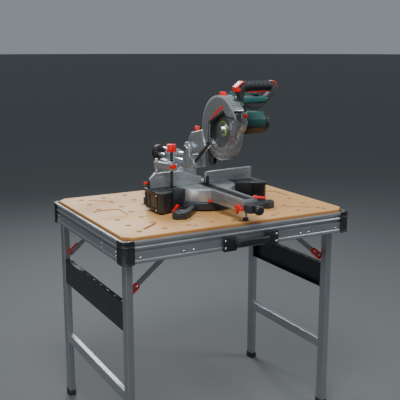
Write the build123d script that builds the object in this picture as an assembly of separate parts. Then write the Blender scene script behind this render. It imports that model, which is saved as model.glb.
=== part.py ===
from build123d import *
from math import cos, sin, radians, pi, atan2, degrees
import os

# Sliding mitre saw standing on a folding work table. Millimetres, +Z up.
# Origin: centre of the footprint of the whole object, on the floor.
# +X runs along the table and the fence, -Y is the operator's side.

# ---- driving dimensions: table -------------------------------------------------
table_length = 960.0
table_depth = 728.0
frame_top = 850.0
board_thickness = 25.0
board_proud = 11.0
board_inset = 13.0
board_corner_cut = 31.0
hole_pitch = 96.0
hole_radius = 10.0
corner_length = 44.0
leg_width = 25.0
leg_depth = 38.0
leg_wall = 2.0
left_leg_inset = 22.5
right_leg_inset = 75.0
left_pivot_drop = 55.0
right_pivot_drop = 90.0
brace_pivot_drop = 29.0
foot_height = 24.0
table_y = 21.0

# ---- driving dimensions: saw ---------------------------------------------------
saw_x = 17.0
saw_y = table_y - 22.0
saw_table = 85.0
turntable_radius = 125.0
arm_reach = 345.0
arm_half = 31.0
blade_radius = 108.0
arbor_y = -153.0
arbor_z = 320.0
head_pivot_y = 74.0
head_pivot_z = 219.0
tube_radius = 11.0
tube_places = ((-11.5, 154.5), (11.5, 176.0))
motor_y = -190.0
motor_z = 341.0
motor_radius = 40.0
bolt_radius = 4.0
base_bolts = [(side * x, y) for side in (-1, 1) for x, y in ((190, -171), (184, 123))]
fit = 0.05
gap = 0.4

board_top = frame_top + board_proud
half_length = table_length / 2
half_depth = table_depth / 2
saw_place = Pos(saw_x, saw_y, board_top)
table_place = Pos(0, table_y, 0)
parts = {}


# ---- shapes used everywhere ----------------------------------------------------
def block(x0, x1, y0, y1, z0, z1):
    return Pos((x0 + x1) / 2, (y0 + y1) / 2, (z0 + z1) / 2) * Box(x1 - x0, y1 - y0, z1 - z0)


def rod_x(radius, x0, x1, y, z):
    return Pos((x0 + x1) / 2, y, z) * Rot(0, 90, 0) * Cylinder(radius, x1 - x0)


def rod_y(radius, y0, y1, x, z):
    return Pos(x, (y0 + y1) / 2, z) * Rot(90, 0, 0) * Cylinder(radius, y1 - y0)


def rod_z(radius, z0, z1, x, y):
    return Pos(x, y, (z0 + z1) / 2) * Cylinder(radius, z1 - z0)


def slab_x(points, x0, x1):
    face = Plane.YZ.offset(x0) * make_face(Polyline(*points, close=True))
    return extrude(face, x1 - x0)


def slab_y(points, y0, y1):
    plane = Plane(origin=(0, y1, 0), x_dir=(1, 0, 0), z_dir=(0, -1, 0))
    return extrude(plane * make_face(Polyline(*points, close=True)), y1 - y0)


def slab_z(points, z0, z1):
    return extrude(Pos(0, 0, z0) * make_face(Polyline(*points, close=True)), z1 - z0)


def arc_points(centre, radius, start, end, count):
    """Points on an arc in a plane; angles in degrees from the first axis."""
    turn = (end - start) / count
    steps = range(count + 1)
    return [(centre[0] + radius * cos(radians(start + turn * i)),
             centre[1] + radius * sin(radians(start + turn * i))) for i in steps]


def bar_between(a, b, width, x0, x1):
    """Flat bar with round ends between two (y, z) centres, from x0 to x1."""
    angle = degrees(atan2(b[1] - a[1], b[0] - a[0]))
    points = arc_points(a, width / 2, angle + 90, angle + 270, 12)
    points += arc_points(b, width / 2, angle - 90, angle + 90, 12)
    return slab_x(points, x0, x1)


def mirror_x(shape):
    return mirror(shape, about=Plane.YZ)


def keep(name, *solids):
    parts[name] = list(solids)


def on_table(*solids):
    return [table_place * s for s in solids]


def on_saw(*solids):
    return [saw_place * s for s in solids]


# ---- table top -----------------------------------------------------------------
def make_board():
    hx = half_length - board_inset
    hy = half_depth - board_inset
    z0 = board_top - board_thickness
    board = block(-hx, hx, -hy, hy, z0, board_top)
    board = chamfer(board.edges().filter_by(Axis.Z), board_corner_cut)
    board = chamfer(board.faces().sort_by(Axis.Z)[-1].edges(), 1.5)
    cutter = Cylinder(hole_radius, board_thickness + 2)
    cutter += Pos(0, 0, board_thickness / 2) * Cone(hole_radius, hole_radius + 2.4, 2.4)
    cutter_z = board_top - board_thickness / 2 - 0.9
    holes = [(column, row) for column in range(-4, 5) for row in range(-3, 4)
             if not (abs(column) == 4 and row == 0)]
    board -= [Pos(column * hole_pitch, row * hole_pitch, cutter_z) * cutter for column, row in holes]
    for side in (-1, 1):
        tray = Pos(side * 367, 15, board_top) * Box(108, 124, 7)
        board -= fillet(tray.edges().filter_by(Axis.Z), 22)
        for end in (-1, 1):
            slot = Box(100, 12, 2 * board_thickness)
            slot = fillet(slot.edges().filter_by(Axis.Z), 5.9)
            board -= Pos(side * 322, end * 240, board_top) * Rot(0, 0, side * end * 38) * slot
    for x, y in base_bolts:
        board -= rod_z(bolt_radius + fit, 0, board_top + 1, x + saw_x, y + saw_y - table_y)
    return board


keep("table_board", *on_table(make_board()))


# ---- frame rails ---------------------------------------------------------------
# Section of the extrusion: distance in from the outer face, height from the top.
def rail_section():
    outline = [(12, 0), (4, 0), (1, -1.5), (0, -5), (0.6, -11), (2.5, -13), (5, -14),
               (5, -20), (1.5, -21), (0, -23), (0, -28), (1.5, -30), (8, -31), (8, -37),
               (2, -38), (2, -66), (0.6, -68), (0, -71), (0, -77), (1.5, -79.5), (4, -80),
               (16, -80), (16, -18), (34, -18), (34, -14.2), (12, -14.2)]
    chamber = [(5, -41), (13, -41), (13, -76), (5, -76)]
    return make_face(Polyline(*outline, close=True)) - make_face(Polyline(*chamber, close=True))


def rail_along_x(length):
    plane = Plane(origin=(-length / 2, -half_depth, frame_top), x_dir=(0, 1, 0), z_dir=(1, 0, 0))
    return extrude(plane * rail_section(), length)


def rail_along_y(length):
    plane = Plane(origin=(-half_length, length / 2, frame_top), x_dir=(1, 0, 0), z_dir=(0, -1, 0))
    return extrude(plane * rail_section(), length)


corner_core = 22.6
front_rail = rail_along_x(table_length - 2 * corner_core)
left_rail = rail_along_y(table_depth - 2 * corner_core)
ledge_x = half_length - 34.6
front_trim = block(-half_length, -ledge_x, -half_depth + 13, 0, frame_top - 90, frame_top + 1)
front_rail -= front_trim + mirror_x(front_trim)
keep("frame_rails", *on_table(front_rail, mirror(front_rail, about=Plane.XZ), left_rail, mirror_x(left_rail)))


# ---- corner castings -----------------------------------------------------------
def make_corner():
    """Front left corner: a cap over both rail ends, solid at the corner, with lips."""
    ox = -half_length - 1.0
    oy = -half_depth - 1.0

    def shell(grow, z0, z1):
        outer = block(ox - grow, ox + corner_length, oy - grow, oy + corner_length, z0, z1)
        upright = outer.edges().filter_by(Axis.Z).sort_by(lambda e: e.center().X + e.center().Y)[0]
        return fillet(upright, 24)

    cap = shell(0.4, frame_top - 81, frame_top + 1.5)
    for z0, z1 in ((-81.5, -77), (-23, -19), (-7, 1.5)):
        cap += shell(2.0, frame_top + z0, frame_top + z1)
    far = ox + corner_length + 1
    far_y = oy + corner_length + 1
    rail_end = corner_core - 0.3
    cap -= block(-half_length + rail_end, far, -half_depth - 0.2, far_y, 0, frame_top + 9)
    cap -= block(-half_length - 0.2, far, -half_depth + rail_end, far_y, 0, frame_top + 9)
    return cap


corner = make_corner()
corner_right = mirror_x(corner)
keep("corner_castings", *on_table(corner, corner_right, mirror(corner, about=Plane.XZ),
                                  mirror(corner_right, about=Plane.XZ)))


# ---- carry handle on the front rail --------------------------------------------
def make_carry_handle():
    face_y = -half_depth
    z_low = frame_top - 84
    solids = []
    for x0, x1 in ((-97, -40), (82, 139)):
        plate = block(x0, x1, face_y - 8, face_y - gap, z_low, frame_top - 31)
        plate = fillet(plate.edges().filter_by(Axis.Y), 6)
        solids.append(plate)
    ear_points = [(-52, 0), (-42, -23), (84, -23), (94, 0)]
    inner_points = [(-34, 1), (-29, -11), (71, -11), (76, 1)]
    bow = slab_z(ear_points, frame_top - 68, frame_top - 42) - slab_z(inner_points, 0, frame_top)
    bow = Pos(0, face_y - 8.3, 0) * bow
    bow = chamfer(bow.edges().filter_by(Axis.X), 3)
    return solids + [bow]


keep("carry_handle", *on_table(*make_carry_handle()))


def rail_screw(radius, x, y, z, axis):
    """Pan head seated on the flat face of a rail; axis is +1 front, -1 rear, 2 left, 3 right."""
    head = Cylinder(radius, 2.4)
    head = chamfer(head.edges().sort_by(Axis.Z)[-1], 0.9)
    turns = {1: Rot(90, 0, 0), -1: Rot(-90, 0, 0), 2: Rot(0, -90, 0), 3: Rot(0, 90, 0)}
    return Pos(x, y, z) * turns[axis] * head


def make_frame_screws():
    screws = []
    seat = 2.0 - 1.2
    for x in (-414, -250, -211, 246, 285, 414):
        screws.append(rail_screw(4, x, -half_depth + seat, frame_top - 60, 1))
        screws.append(rail_screw(4, x, half_depth - seat, frame_top - 60, -1))
    for y in (-300, -173, 173, 300):
        for z in (-46, -60):
            screws.append(rail_screw(3, -half_length + seat, y, frame_top + z, 2))
            screws.append(rail_screw(3, half_length - seat, y, frame_top + z, 3))
    handle_face = -half_depth - 8 - 1.2
    for x in (-88, 130):
        for z in (-44, -72):
            screws.append(rail_screw(4.5, x, handle_face, frame_top + z, 1))
    return screws


# ---- folding leg frames --------------------------------------------------------
# Each end has two rectangular tubes with a pressed panel and a low cross bar.
# The right frame is narrower and hangs lower, so it folds flat under the left one.
leg_x = half_length - 20 - leg_width / 2
panel_top = frame_top - 235
panel_bottom = frame_top - 335
bar_top = frame_top - 563
bar_height = 38.0
brace_low = (leg_x - 14, frame_top - 205)
brace_high = (leg_x - 232, frame_top - brace_pivot_drop)
brace_width = 18.0


def make_leg(side, y0, pivot_drop):
    """One hollow tube with a cross bore for its pivot bolt."""
    top = frame_top - pivot_drop + 12.4
    x0 = side * leg_x - leg_width / 2
    x1 = side * leg_x + leg_width / 2
    tube = block(x0, x1, y0, y0 + leg_depth, foot_height, top)
    tube = fillet(tube.edges().filter_by(Axis.Z), 2.5)
    tube = fillet(tube.edges().filter_by(Axis.Y).sort_by(Axis.Z)[-2:], 11)
    bore = block(x0 + leg_wall, x1 - leg_wall, y0 + leg_wall, y0 + leg_depth - leg_wall,
                 foot_height - 1, top - leg_wall - 8)
    tube -= fillet(bore.edges().filter_by(Axis.Z), 0.8)
    pin = rod_y(5.0 + fit, y0 - 1, y0 + leg_depth + 1, side * leg_x, frame_top - pivot_drop)
    return tube - pin


def make_foot(side, y0):
    """Rubber foot: a pad under the tube and a plug pushed up inside it."""
    x0 = side * leg_x - leg_width / 2
    x1 = side * leg_x + leg_width / 2
    pad = block(x0 - 3, x1 + 3, y0 - 1.2, y0 + leg_depth + 1.2, 0, foot_height)
    pad = fillet(pad.edges().filter_by(Axis.Z), 4)
    pad = chamfer(pad.faces().sort_by(Axis.Z)[0].edges(), 2)
    plug = block(x0 + 2.4, x1 - 2.4, y0 + 2.4, y0 + leg_depth - 2.4, foot_height - 1, foot_height + 22)
    return pad + plug


def make_panel(side, y0, y1):
    """Pressed channel between two legs with a slotted top flange."""
    outer = side * (leg_x + 10)
    inner = side * (leg_x - 11)
    low, high = min(outer, inner), max(outer, inner)
    web_in = side * (leg_x + 8)
    channel = block(low, high, y0, y1, panel_bottom, panel_top)
    hollow_low, hollow_high = min(web_in, inner - side * 2), max(web_in, inner - side * 2)
    channel -= block(hollow_low, hollow_high, y0 + 2, y1 - 2, panel_bottom + 2, panel_top - 2)
    count = 9
    step = (y1 - y0 - 60) / (count - 1)
    slots = []
    for i in range(count):
        length = 26 if i % 2 == 0 else 16
        cut = Pos(side * (leg_x - 1), y0 + 30 + i * step, panel_top) * Box(7, length, 8)
        slots.append(cut)
    return channel - slots


def make_cross_bar(side, y0, y1):
    bar = block(side * leg_x - 11, side * leg_x + 11, y0, y1, bar_top - bar_height, bar_top)
    bar = fillet(bar.edges().filter_by(Axis.Y), 3)
    return bar - block(side * leg_x - 9, side * leg_x + 9, y0 - 1, y1 + 1,
                       bar_top - bar_height + 2, bar_top - 2)


def make_leg_frame(side, name, inset, pivot_drop):
    y_front = -half_depth + inset
    y_back = half_depth - inset - leg_depth
    keep(f"{name}_legs", *on_table(make_leg(side, y_front, pivot_drop), make_leg(side, y_back, pivot_drop)))
    keep(f"{name}_leg_panel", *on_table(make_panel(side, y_front + leg_depth, y_back)))
    keep(f"{name}_cross_bar", *on_table(make_cross_bar(side, y_front + leg_depth, y_back)))
    keep(f"{name}_feet", *on_table(make_foot(side, y_front), make_foot(side, y_back)))


make_leg_frame(-1, "left", left_leg_inset, left_pivot_drop)
make_leg_frame(1, "right", right_leg_inset, right_pivot_drop)


def brace_planes(inset):
    """Where the front and rear flat braces lie: inside the leg tubes, past the latches."""
    front = -half_depth + inset + leg_depth + 8
    return ((front, front + 4), (-front - 4, -front))


def make_braces(side, inset):
    braces = []
    for y0, y1 in brace_planes(inset):
        a = (side * brace_low[0], brace_low[1])
        b = (side * brace_high[0], brace_high[1])
        angle = degrees(atan2(b[1] - a[1], b[0] - a[0]))
        points = arc_points(a, brace_width / 2, angle + 90, angle + 270, 12)
        points += arc_points(b, brace_width / 2, angle - 90, angle + 90, 12)
        bar = slab_y(points, y0, y1) - rod_y(4 + fit, y0 - 1, y1 + 1, b[0], b[1])
        braces.append(bar - rod_y(4.5, y0 - 1, y1 + 1, a[0], a[1]))
    return braces


def make_latches(side, inset):
    """Slotted clip between the leg and each brace; it slides along the brace's low end."""
    latches = []
    slope = degrees(atan2(brace_high[1] - brace_low[1], brace_high[0] - brace_low[0]))
    for y0, y1 in brace_planes(inset):
        outward = 1 if y0 > 0 else -1
        face = y1 if outward > 0 else y0
        clip = Box(58, 5, 26)
        clip = fillet(clip.edges().filter_by(Axis.Y), 6)
        clip -= Pos(8, 0, 0) * fillet(Box(26, 7, 11).edges().filter_by(Axis.Y), 5)
        turn = slope if side > 0 else 180 - slope
        place = Pos(side * brace_low[0], face + outward * (2.5 + gap), brace_low[1])
        latches.append(place * Rot(0, -turn, 0) * Pos(18, 0, 0) * clip)
    return latches


for side, name, inset in ((-1, "left", left_leg_inset), (1, "right", right_leg_inset)):
    keep(f"{name}_braces", *on_table(*make_braces(side, inset)))
    keep(f"{name}_latches", *on_table(*make_latches(side, inset)))


def make_leg_brackets():
    """Steel ears that carry the leg pivots and the upper brace pivots."""
    ears = []
    ledge_clear = half_depth - 34.6
    ledge_x_clear = half_length - 34.6
    for side, inset, drop in ((-1, left_leg_inset, left_pivot_drop), (1, right_leg_inset, right_pivot_drop)):
        pivot_z = frame_top - drop
        plate_in = half_depth - inset + 0.6
        plate_out = plate_in + 3
        lug_out = half_depth - inset - leg_depth - 13
        b_x = brace_high[0]
        plate = [(leg_x - 13, pivot_z - 13), (leg_x + 9.5, pivot_z - 13),
                 (leg_x + 9.5, frame_top - 18.4), (leg_x - 30, frame_top - 18.4)]
        ear = slab_y(plate, plate_in, plate_out)
        roof_y = min(plate_out, ledge_clear)
        roof = block(b_x - 14, ledge_x_clear, lug_out - 3, roof_y, frame_top - 17.4, frame_top - 14.6)
        step = block(leg_x - 30, ledge_x_clear, roof_y - 8, roof_y, frame_top - 21.4, frame_top - 14.6)
        flange = block(leg_x - 30, leg_x + 9.5, roof_y - 8, plate_out, frame_top - 21.4, frame_top - 18.4)
        lug = block(b_x - 11, b_x + 11, lug_out - 3, lug_out, brace_high[1] - 9, frame_top - 14.6)
        bracket = ear + roof + step + flange + lug
        bracket -= rod_y(5.0, plate_in - 1, plate_out + 1, leg_x, pivot_z)
        bracket -= rod_y(4.0, lug_out - 4, lug_out + 1, b_x, brace_high[1])
        if side < 0:
            bracket = mirror_x(bracket)
        ears += [bracket, mirror(bracket, about=Plane.XZ)]
    return ears


keep("leg_brackets", *on_table(*make_leg_brackets()))


def make_leg_pivots():
    """Shoulder bolts: one per leg and one per brace."""
    bolts = []
    for side, inset, drop in ((-1, left_leg_inset, left_pivot_drop), (1, right_leg_inset, right_pivot_drop)):
        face = half_depth - inset
        shank = rod_y(5.0, face - leg_depth - 0.5, face + 3.6, side * leg_x, frame_top - drop)
        stub = rod_y(4.0, face - leg_depth - 16, face - leg_depth - 7.3, side * brace_high[0], brace_high[1])
        bolts += [shank, stub, mirror(shank, about=Plane.XZ), mirror(stub, about=Plane.XZ)]
    return bolts


keep("leg_pivot_bolts", *on_table(*make_leg_pivots()))


# ================================================================================
# The saw. Its own frame: mitre axis at x = 0, y = 0; z = 0 on the table board.
# The fence face is y = 0 and the blade runs in the plane x = 0.
# ================================================================================
rod_radius = 7.0
rod_ys = (-30.0, 22.0)
rod_z_height = 20.0
wing_front = ((-135.0, -58.0), (-176.0, -79.0))
wing_slope = degrees(atan2(wing_front[0][1] - wing_front[1][1], wing_front[0][0] - wing_front[1][0]))


def lever_place(side):
    """Frame on the slanted front face of a wing; local -Y points out of the face."""
    if side < 0:
        return Pos(-156, -68.76, 24) * Rot(0, 0, wing_slope)
    return Pos(156, -68.76, 24) * Rot(0, 0, -wing_slope)


def make_base():
    ring = chamfer(Cylinder(132, 30).edges().group_by(Axis.Z)[-1], 4)
    base = Pos(0, 0, 21) * ring
    lug = [(-96, -70), (-96, -112), (-150, -172), (-182, -196), (-214, -186), (-222, -160), (-120, -60)]
    window = [(-118, -104), (-160, -151), (-180, -133), (-140, -89)]
    rear = [(-96, 60), (-118, 96), (-170, 136), (-202, 136), (-208, 116), (-128, 54)]
    for points in (lug, rear):
        arm = slab_z(points, 0, 27)
        arm = fillet(arm.edges().filter_by(Axis.Z), 6)
        arm = chamfer(arm.faces().sort_by(Axis.Z)[-1].edges(), 3)
        if points is lug:
            arm -= slab_z(window, -1, 30)
        base += arm + mirror_x(arm)
    wing = slab_z([(-60, 40), (-60, -50), *wing_front, (-176, 40)], 7, saw_table)
    base += wing + mirror_x(wing)
    base -= Pos(0, 0, 90) * Cylinder(turntable_radius + 1.0, 107.6)
    base -= rod_z(12 + fit, 0, 60, 0, 0)
    for side in (-1, 1):
        for y in rod_ys:
            base -= rod_x(rod_radius + fit, *sorted((side * 13.5, side * 180)), y, rod_z_height)
    for x, y in base_bolts:
        base -= rod_z(bolt_radius + fit, -1, 40, x, y)
    for side in (-1, 1):
        base -= lever_place(side) * rod_y(3 + fit, -1, 16, 0, 0)
    return base


keep("saw_base", *on_saw(make_base()))


def make_fixings():
    """Rail screws, handle bolts and the four bolts that hold the saw to the board."""
    bolts = []
    for x, y in base_bolts:
        head = extrude(Pos(x, y, 27) * RegularPolygon(6.5, 6), 5)
        nut = extrude(Pos(x, y, -board_thickness - 5) * RegularPolygon(7, 6), 5)
        bolts.append(head + nut + rod_z(bolt_radius, -board_thickness - 7, 27, x, y))
    return on_table(*make_frame_screws()) + on_saw(*bolts)


keep("fixings", *make_fixings())


# ---- fences --------------------------------------------------------------------
def make_fence_support(side):
    """Fixed half of the fence, cast to carry the sliding face."""
    body = block(14, 174, 11, 24, saw_table + 0.4, saw_table + 28)
    foot = block(130, 174, 11, 38, saw_table, saw_table + 10)
    rib = slab_x([(24, saw_table + 10), (36, saw_table + 10), (24, saw_table + 27)], 150, 158)
    shape = body + foot + rib
    return shape if side > 0 else mirror_x(shape)


keep("fence_support", *on_saw(make_fence_support(-1), make_fence_support(1)))


def make_left_fence():
    low = saw_table + 0.8
    outline = [(-235, low), (-235, saw_table + 40), (-213, saw_table + 59), (-88, saw_table + 57),
               (-30, saw_table + 34), (-9, saw_table + 30), (-9, low)]
    plate = slab_y(outline, 0, 10.4)
    plate -= rod_y(2.6, -1, 12, -190, saw_table + 46)
    plate = chamfer(plate.faces().sort_by(Axis.Y)[0].edges(), 0.8)
    lip = slab_y([(-213, saw_table + 59), (-88, saw_table + 57), (-88, saw_table + 52),
                  (-213, saw_table + 54)], 10, 16)
    return plate + lip


def make_right_fence():
    low = saw_table + 0.8
    outline = [(9, low), (9, saw_table + 45), (225, saw_table + 50), (225, low)]
    plate = chamfer(slab_y(outline, 0, 10.4).faces().sort_by(Axis.Y)[0].edges(), 0.8)
    lip = slab_y([(12, saw_table + 45), (225, saw_table + 50), (225, saw_table + 45),
                  (12, saw_table + 40)], 10, 16)
    return plate + lip


keep("left_fence", *on_saw(make_left_fence()))
keep("right_fence", *on_saw(make_right_fence()))


# ---- pull-out side tables ------------------------------------------------------
column_place = (-193.0, 26.5)


def make_extension(side):
    """Box-shaped side table on two steel rods that slide in the base."""
    plan = [(-176.5, -80), (-226, -105), (-240, -98), (-245, -82), (-245, 38), (-176.5, 38)]
    skirt = [(-176.5, -74), (-224, -98), (-236, -92), (-239, -78), (-239, 34), (-176.5, 34)]
    hollow = [(-180.5, -72), (-223, -93), (-232, -89), (-235, -76), (-235, 30), (-180.5, 30)]
    top = chamfer(slab_z(plan, saw_table - 9, saw_table).faces().sort_by(Axis.Z)[-1].edges(), 0.8)
    box = top + slab_z(skirt, 9, saw_table - 9) - slab_z(hollow, 8, saw_table - 5)
    box += rod_z(11, 9, saw_table - 5, *column_place)
    box -= rod_z(7, 12, saw_table + 1, *column_place)
    for y in rod_ys:
        box += rod_x(rod_radius, -178, -14.5, y, rod_z_height)
    return box if side < 0 else mirror_x(box)


keep("left_extension", *on_saw(make_extension(-1)))
keep("right_extension", *on_saw(make_extension(1)))


def make_lock_lever(side):
    """Clamp screw with a flat lever, on the slanted front face of the base wing."""
    screw = rod_y(3, -6, 14, 0, 0) + rod_y(6.5, -9.5, -0.4, 0, 0)
    handle = slab_y([(-6, 5), (4, 6.5), (6, -4), (-6, -8), (-35, -20), (-38, -13)], -8.5, -3)
    handle = fillet(handle.edges().filter_by(Axis.Y), 1.5)
    lever = handle + screw
    return lever_place(side) * (lever if side < 0 else mirror_x(lever))


keep("left_extension_lever", *on_saw(make_lock_lever(-1)))
keep("right_extension_lever", *on_saw(make_lock_lever(1)))


# ---- turntable with its arm ----------------------------------------------------
kerf_front, kerf_back = -338.0, 78.0


def make_bevel_post():
    """Upright behind the table: a round face for the tilting joint and its bolt."""
    disc = rod_y(44, 139.5, 156, 0, saw_table) + rod_y(50, 148, 156, 0, saw_table)
    boss = block(-44, 44, 139.5, 156, 42, saw_table)
    return disc + boss + rod_y(9, 150, 186, 0, saw_table)


def make_turntable():
    drum = Pos(0, 0, (36.6 + saw_table) / 2) * Cylinder(turntable_radius, saw_table - 36.6)
    drum = chamfer(drum.edges().group_by(Axis.Z)[-1], 2)
    arm = slab_x([(-90, 37), (-90, saw_table), (-arm_reach, saw_table), (-arm_reach, 47), (-arm_reach + 20, 42)],
                 -36, 36)
    side_cut = slab_z([(-40, -80), (-36, -100), (-arm_half, -arm_reach - 1), (-40, -arm_reach - 1)], 0, 100)
    arm -= side_cut + mirror_x(side_cut)
    neck = block(-44, 44, 90, 140, 42, saw_table - 0.5)
    table = drum + arm + neck
    cast_room = Pos(0, 0, 50) * Cylinder(116, 40) - Pos(0, 0, 50) * Cylinder(24, 60)
    arm_room = slab_x([(-60, 20), (-60, 74), (-arm_reach + 9, 74), (-arm_reach + 9, 40)], -26, 26)
    table -= cast_room + (arm_room - Pos(0, 0, 50) * Cylinder(24, 80))
    table -= block(-9, 9, kerf_front + 4, kerf_back - 4, 60, saw_table + 1)
    table -= block(-22, 22, kerf_front - 0.3, kerf_back + 0.3, saw_table - 4.4, saw_table + 1)
    table += rod_z(12, 8, 55, 0, 0)
    table += block(-27, 27, -321, -307, 42, 60) + make_bevel_post()
    table -= rod_x(3 + fit, -40, -24, -322, 58)
    return table - rod_z(3 + fit, 74, 90, 27, -333)


keep("turntable", *on_saw(make_turntable()))


def make_kerf_board():
    """Replaceable insert, slotted for the blade and drilled along both sides."""
    board = block(-21.6, 21.6, kerf_front, kerf_back, saw_table - 4.4, saw_table - 0.2)
    board -= block(-5, 5, kerf_front + 10, kerf_back - 10, saw_table - 6, saw_table + 1)
    count = 26
    step = (kerf_back - kerf_front - 30) / (count - 1)
    cuts = []
    for i in range(count):
        y = kerf_front + 15 + i * step
        for side in (-1, 1):
            cuts.append(Pos(side * 13.5, y, saw_table) * Box(9, 5, 3))
    return board - cuts


keep("kerf_board", *on_saw(make_kerf_board()))


def make_mitre_knob():
    """Screw-in clamp handle at the end of the arm."""
    body = slab_z([(-22, -arm_reach), (-34, -356), (-34, -374), (-20, -388), (20, -388), (34, -374),
                   (34, -356), (22, -arm_reach)], 42, 74)
    body = fillet(body.edges().filter_by(Axis.Z), 5)
    body = fillet(body.edges().group_by(Axis.Z)[-1] + body.edges().group_by(Axis.Z)[0], 5)
    grip = rod_y(17, -412, -388.4, 0, 56)
    grip = chamfer(grip.edges().group_by(Axis.Y)[0], 4)
    for i in range(8):
        angle = i * 2 * pi / 8
        grip -= rod_y(3, -414, -391, 18.5 * cos(angle), 56 + 18.5 * sin(angle))
    return body, grip


mitre_body, mitre_grip = make_mitre_knob()
keep("mitre_handle", *on_saw(mitre_body - rod_y(7 + fit, -389, -352, 0, 56)))
keep("mitre_knob", *on_saw(mitre_grip + rod_y(7, -392, -353, 0, 56)))


def make_detent_lever():
    hub = rod_x(8, -46, -32.4, -322, 58) + rod_x(3, -36, -27, -322, 58)
    blade = slab_x([(-318, 64), (-332, 66), (-352, 58), (-354, 50), (-334, 46), (-318, 50)], -46, -36)
    tail = slab_x([(-326, 54), (-314, 54), (-312, 34), (-322, 32)], -44, -36)
    return hub + blade + tail


keep("detent_lever", *on_saw(make_detent_lever()))


def make_mitre_lock_lever():
    hub = rod_z(8, saw_table + 0.3, saw_table + 9, 27, -333) + rod_z(3, 76, saw_table + 4, 27, -333)
    paddle = slab_z([(18, -336), (22, -342), (46, -366), (54, -362), (52, -352), (30, -328)],
                    saw_table + 1, saw_table + 7)
    return hub + paddle


keep("mitre_lock_lever", *on_saw(make_mitre_lock_lever()))
foot = rod_z(9, 0.3, 12, 0, -314) + rod_z(6, 10, 42, 0, -314)
keep("arm_foot", *on_saw(chamfer(foot.edges().group_by(Axis.Z)[0], 1.5)))


# ---- bevel joint ---------------------------------------------------------------
def make_bevel_arm():
    disc = rod_y(44, 156.6, 172, 0, saw_table)
    body = slab_y([(-70, 94), (-70, 126), (-58, 140), (46, 140), (58, 126), (58, 94)], 165, 240)
    body = fillet(body.edges().filter_by(Axis.Y), 7)
    saddle = slab_y([(-58, 92), (-52, 150), (46, 150), (52, 92)], 234, 288)
    saddle = fillet(saddle.edges().filter_by(Axis.Y), 7)
    housing = rod_y(31, 232, 288, 0, 165.2)
    arm = disc + body + saddle + housing - rod_y(9 + fit, 155, 190, 0, saw_table)
    for x, z in tube_places:
        arm -= rod_y(tube_radius + fit, 160, 300, x, z)
    arm -= rod_x(4 + fit, 44, 60, 190, 122)
    return arm - rod_y(3 + fit, 160, 196, 36, 128)


keep("bevel_arm", *on_saw(make_bevel_arm()))


def make_bevel_lever():
    """Clamp lever on the right of the tilting joint."""
    hub = rod_x(8, 58.4, 70, 190, 122) + rod_x(4, 46, 60, 190, 122)
    bar = slab_x([(196, 116), (186, 116), (150, 134), (140, 146), (148, 150), (196, 130)], 62, 70)
    return hub + fillet(bar.edges().filter_by(Axis.X), 2)


keep("bevel_lever", *on_saw(make_bevel_lever()))
stop_pin = rod_y(4.5, 146, 164.6, 36, 128) + rod_y(3, 160, 188, 36, 128)
keep("bevel_stop_pin", *on_saw(stop_pin))


# ---- slide carriage ------------------------------------------------------------
tube_front, tube_back = 64.0, 402.0
link_pivot = (26.0, 164.0)


def make_tubes():
    return [rod_y(tube_radius, tube_front, tube_back, x, z) - rod_y(8.5, tube_front - 1, tube_back + 1, x, z)
            for x, z in tube_places]


def make_end_cap():
    cap = rod_y(33, 386, 414, 0, 160)
    cap = fillet(cap.edges().group_by(Axis.Y)[-1], 7)
    cap += slab_y([(-24, 122), (-30, 150), (30, 150), (24, 122)], 386, 408)
    for x, z in tube_places:
        cap -= rod_y(tube_radius, 380, tube_back, x, z)
    return cap


def make_head_bracket():
    """Fork at the front of the slide tubes; the saw head swings between its cheeks."""
    profile = [(50, 141), (104, 141), (104, 215)]
    profile += arc_points((head_pivot_y + 2, head_pivot_z), 26, 0, 180, 18)
    cheek = slab_x(profile, 24, 38)
    cheek = chamfer(cheek.faces().sort_by(Axis.X)[-1].edges(), 2)
    link_lug = slab_x([(50, 141), (50, 190), (18, 177), (11, 164), (18, 151)], -38, -31)
    block_rear = block(-38, 38, 62.5, 104, 141, 190)
    floor = block(-38, 38, 50, 104, 141, 147)
    bracket = cheek + mirror_x(cheek) + block_rear + floor + link_lug
    for x, z in tube_places:
        bracket -= rod_y(tube_radius, tube_front, 110, x, z)
    bracket -= rod_x(5 + fit, -36.4, -30, *link_pivot)
    return bracket - rod_x(8, -60, 60, head_pivot_y, head_pivot_z)


keep("slide_tubes", *on_saw(*make_tubes()))
keep("slide_end_cap", *on_saw(make_end_cap()))
keep("head_bracket", *on_saw(make_head_bracket()))
pivot_pin = rod_x(8, -41, 41, head_pivot_y, head_pivot_z)
pivot_pin += rod_x(13, -45, -38.1, head_pivot_y, head_pivot_z) + rod_x(13, 38.1, 45, head_pivot_y, head_pivot_z)
keep("head_pivot_pin", *on_saw(pivot_pin))


# ---- saw head ------------------------------------------------------------------
guard_radius = 124.0
guard_left, guard_right = -22.0, 25.0
centre = (arbor_y, arbor_z)


def sector(inner, outer, start, end, x0, x1):
    """Part of a ring about the arbor; angles up from the operator's side."""
    count = max(8, int(abs(end - start) / 5))
    points = arc_points((0, 0), outer, start, end, count)
    points += arc_points((0, 0), inner, end, start, count)
    return slab_x([(arbor_y - y, arbor_z + z) for y, z in points], x0, x1)


def make_upper_guard():
    rim = sector(guard_radius - 3, guard_radius, 36, 214, guard_left, guard_right)
    left = sector(1, guard_radius, 20, 214, guard_left, guard_left + 2.6)
    window = [(-84, 180), (-84, 337), (-186, 387), (-212, 366), (-262, 366), (-300, 340), (-300, 180)]
    left -= slab_x(window, guard_left - 1, guard_left + 4)
    right = sector(32, guard_radius, 36, 214, guard_right - 2.6, guard_right)
    return rim + left + right


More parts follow.
